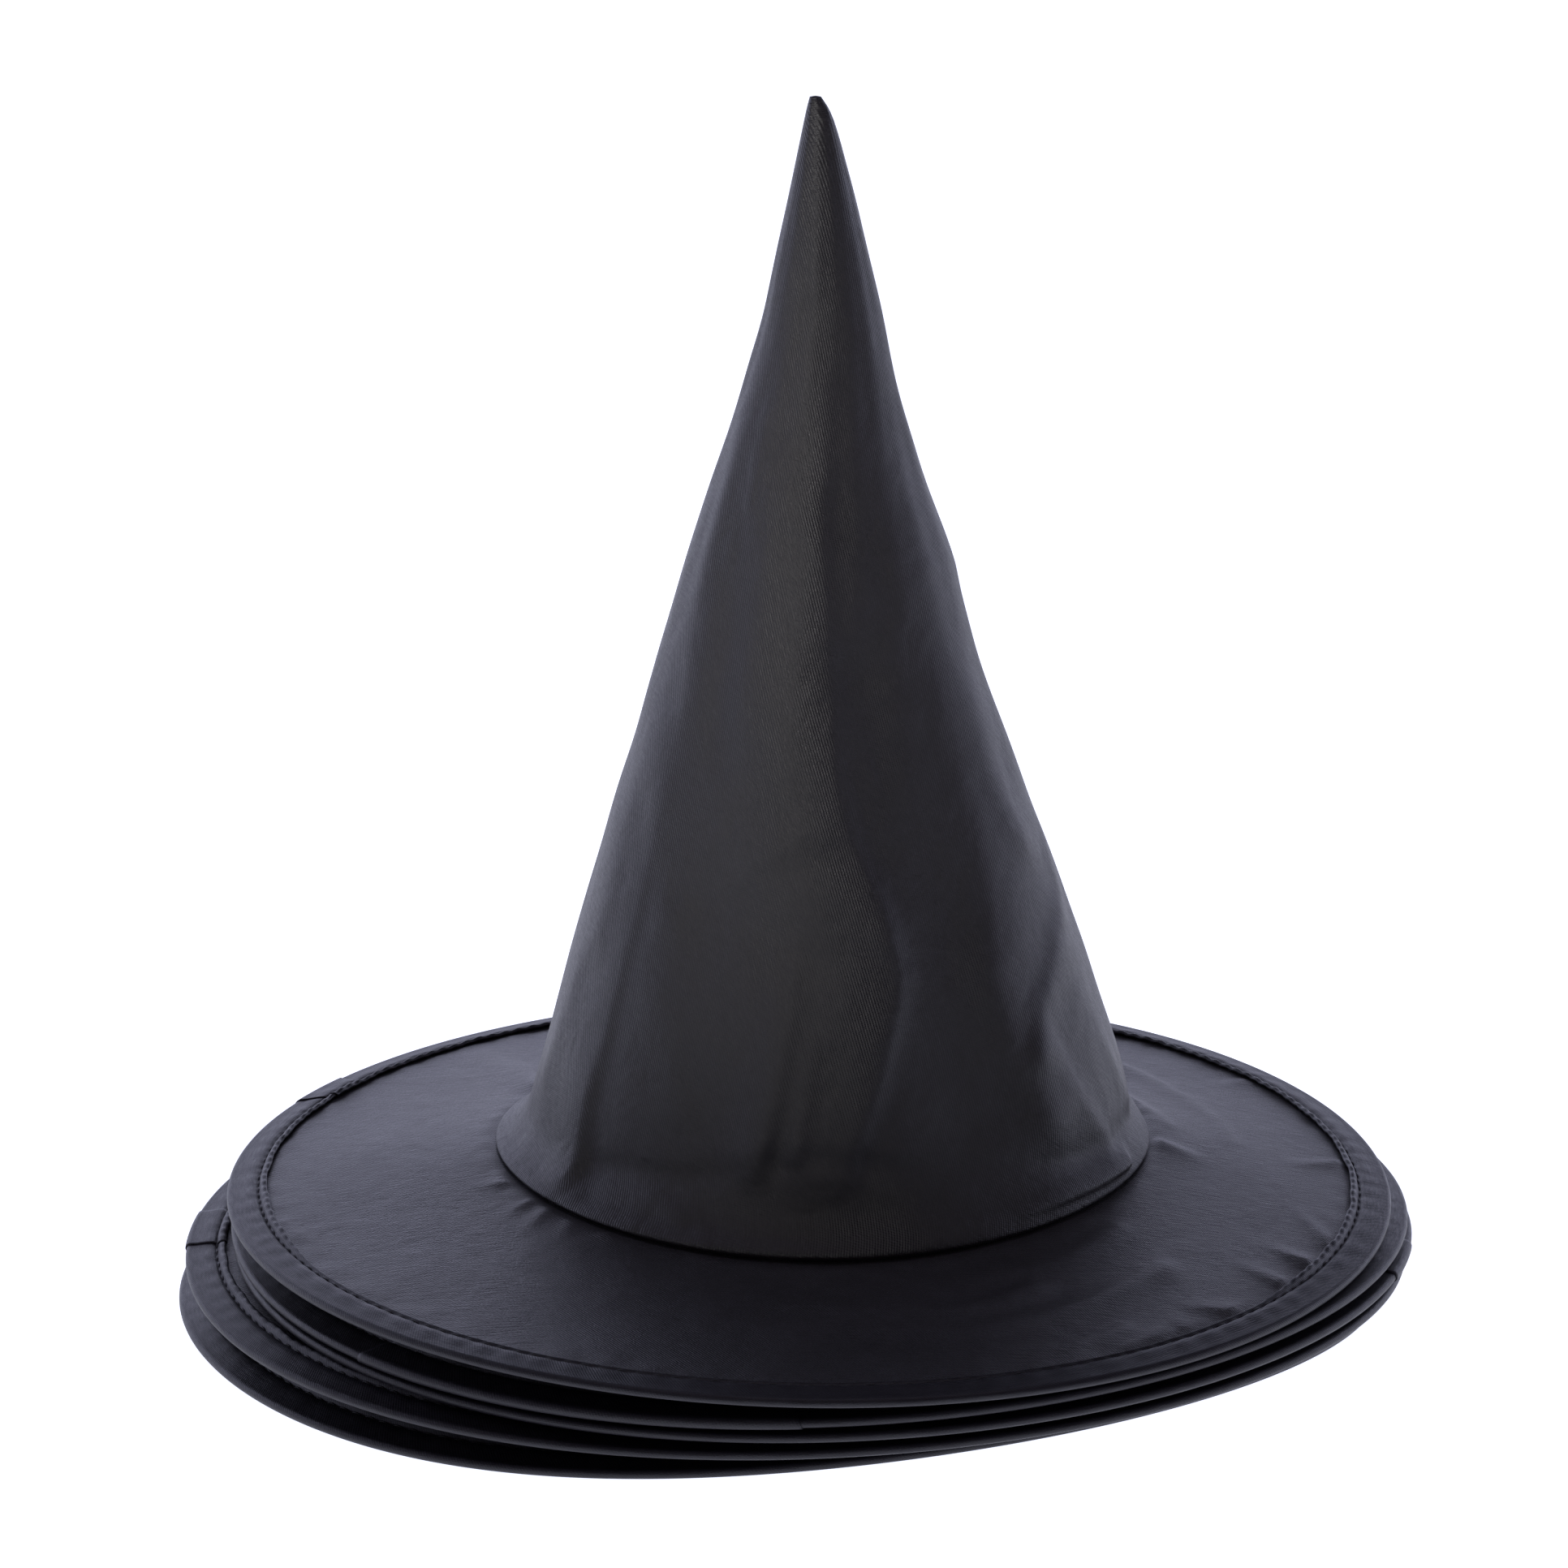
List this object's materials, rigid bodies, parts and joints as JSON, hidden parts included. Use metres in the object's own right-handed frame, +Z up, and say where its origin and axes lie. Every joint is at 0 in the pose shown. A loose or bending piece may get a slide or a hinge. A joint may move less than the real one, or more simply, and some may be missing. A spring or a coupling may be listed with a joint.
{
  "type": "stack of nested witch hats",
  "caption": "Black satin witch hats nested in a stack: tall cone crowns on wide round brims with taped, wired edges. Each hat lifts off the one below.",
  "frame": {"origin": "on the ground, in the middle of the rectangle that the stack covers", "axes": "+Z up along the crowns, -Y towards the front, +X to the right seen from the front"},
  "size_m": [0.364, 0.367, 0.3523],
  "materials": {
    "crown_satin": "satin",
    "brim_satin": "satin",
    "binding_tape": "satin",
    "nonwoven_interlining": "matte",
    "grosgrain_band": "matte",
    "spring_steel": "brushed",
    "label_cloth": "matte"
  },
  "bodies": {
    "hat_1": {"hat_1_crown_shell": "crown_satin", "hat_1_crown_stiffener": "nonwoven_interlining", "hat_1_sweatband": "grosgrain_band", "hat_1_brim_top": "brim_satin", "hat_1_brim_interlining": "nonwoven_interlining", "hat_1_brim_underside": "brim_satin", "hat_1_edge_binding": "binding_tape", "hat_1_hoop_wire": "spring_steel", "hat_1_hoop_ferrule": "spring_steel", "hat_1_care_label": "label_cloth"},
    "hat_2": {"hat_2_crown_shell": "crown_satin", "hat_2_crown_stiffener": "nonwoven_interlining", "hat_2_sweatband": "grosgrain_band", "hat_2_brim_top": "brim_satin", "hat_2_brim_interlining": "nonwoven_interlining", "hat_2_brim_underside": "brim_satin", "hat_2_edge_binding": "binding_tape", "hat_2_hoop_wire": "spring_steel", "hat_2_hoop_ferrule": "spring_steel", "hat_2_care_label": "label_cloth"},
    "hat_3": {"hat_3_crown_shell": "crown_satin", "hat_3_crown_stiffener": "nonwoven_interlining", "hat_3_sweatband": "grosgrain_band", "hat_3_brim_top": "brim_satin", "hat_3_brim_interlining": "nonwoven_interlining", "hat_3_brim_underside": "brim_satin", "hat_3_edge_binding": "binding_tape", "hat_3_hoop_wire": "spring_steel", "hat_3_hoop_ferrule": "spring_steel", "hat_3_care_label": "label_cloth"},
    "hat_4": {"hat_4_crown_shell": "crown_satin", "hat_4_crown_stiffener": "nonwoven_interlining", "hat_4_sweatband": "grosgrain_band", "hat_4_brim_top": "brim_satin", "hat_4_brim_interlining": "nonwoven_interlining", "hat_4_brim_underside": "brim_satin", "hat_4_edge_binding": "binding_tape", "hat_4_hoop_wire": "spring_steel", "hat_4_hoop_ferrule": "spring_steel", "hat_4_care_label": "label_cloth"},
    "hat_5": {"hat_5_crown_shell": "crown_satin", "hat_5_crown_stiffener": "nonwoven_interlining", "hat_5_sweatband": "grosgrain_band", "hat_5_brim_top": "brim_satin", "hat_5_brim_interlining": "nonwoven_interlining", "hat_5_brim_underside": "brim_satin", "hat_5_edge_binding": "binding_tape", "hat_5_hoop_wire": "spring_steel", "hat_5_hoop_ferrule": "spring_steel", "hat_5_care_label": "label_cloth"}
  },
  "joints": [
    {"name": "lift_hat_4", "type": "slide", "parent": "hat_5", "child": "hat_4", "axis": [0, 0, 1], "range_m": [0, 0.32]},
    {"name": "lift_hat_3", "type": "slide", "parent": "hat_4", "child": "hat_3", "axis": [0, 0, 1], "range_m": [0, 0.32]},
    {"name": "lift_hat_2", "type": "slide", "parent": "hat_3", "child": "hat_2", "axis": [0, 0, 1], "range_m": [0, 0.32]},
    {"name": "lift_hat_1", "type": "slide", "parent": "hat_2", "child": "hat_1", "axis": [0, 0, 1], "range_m": [0, 0.32]}
  ]
}
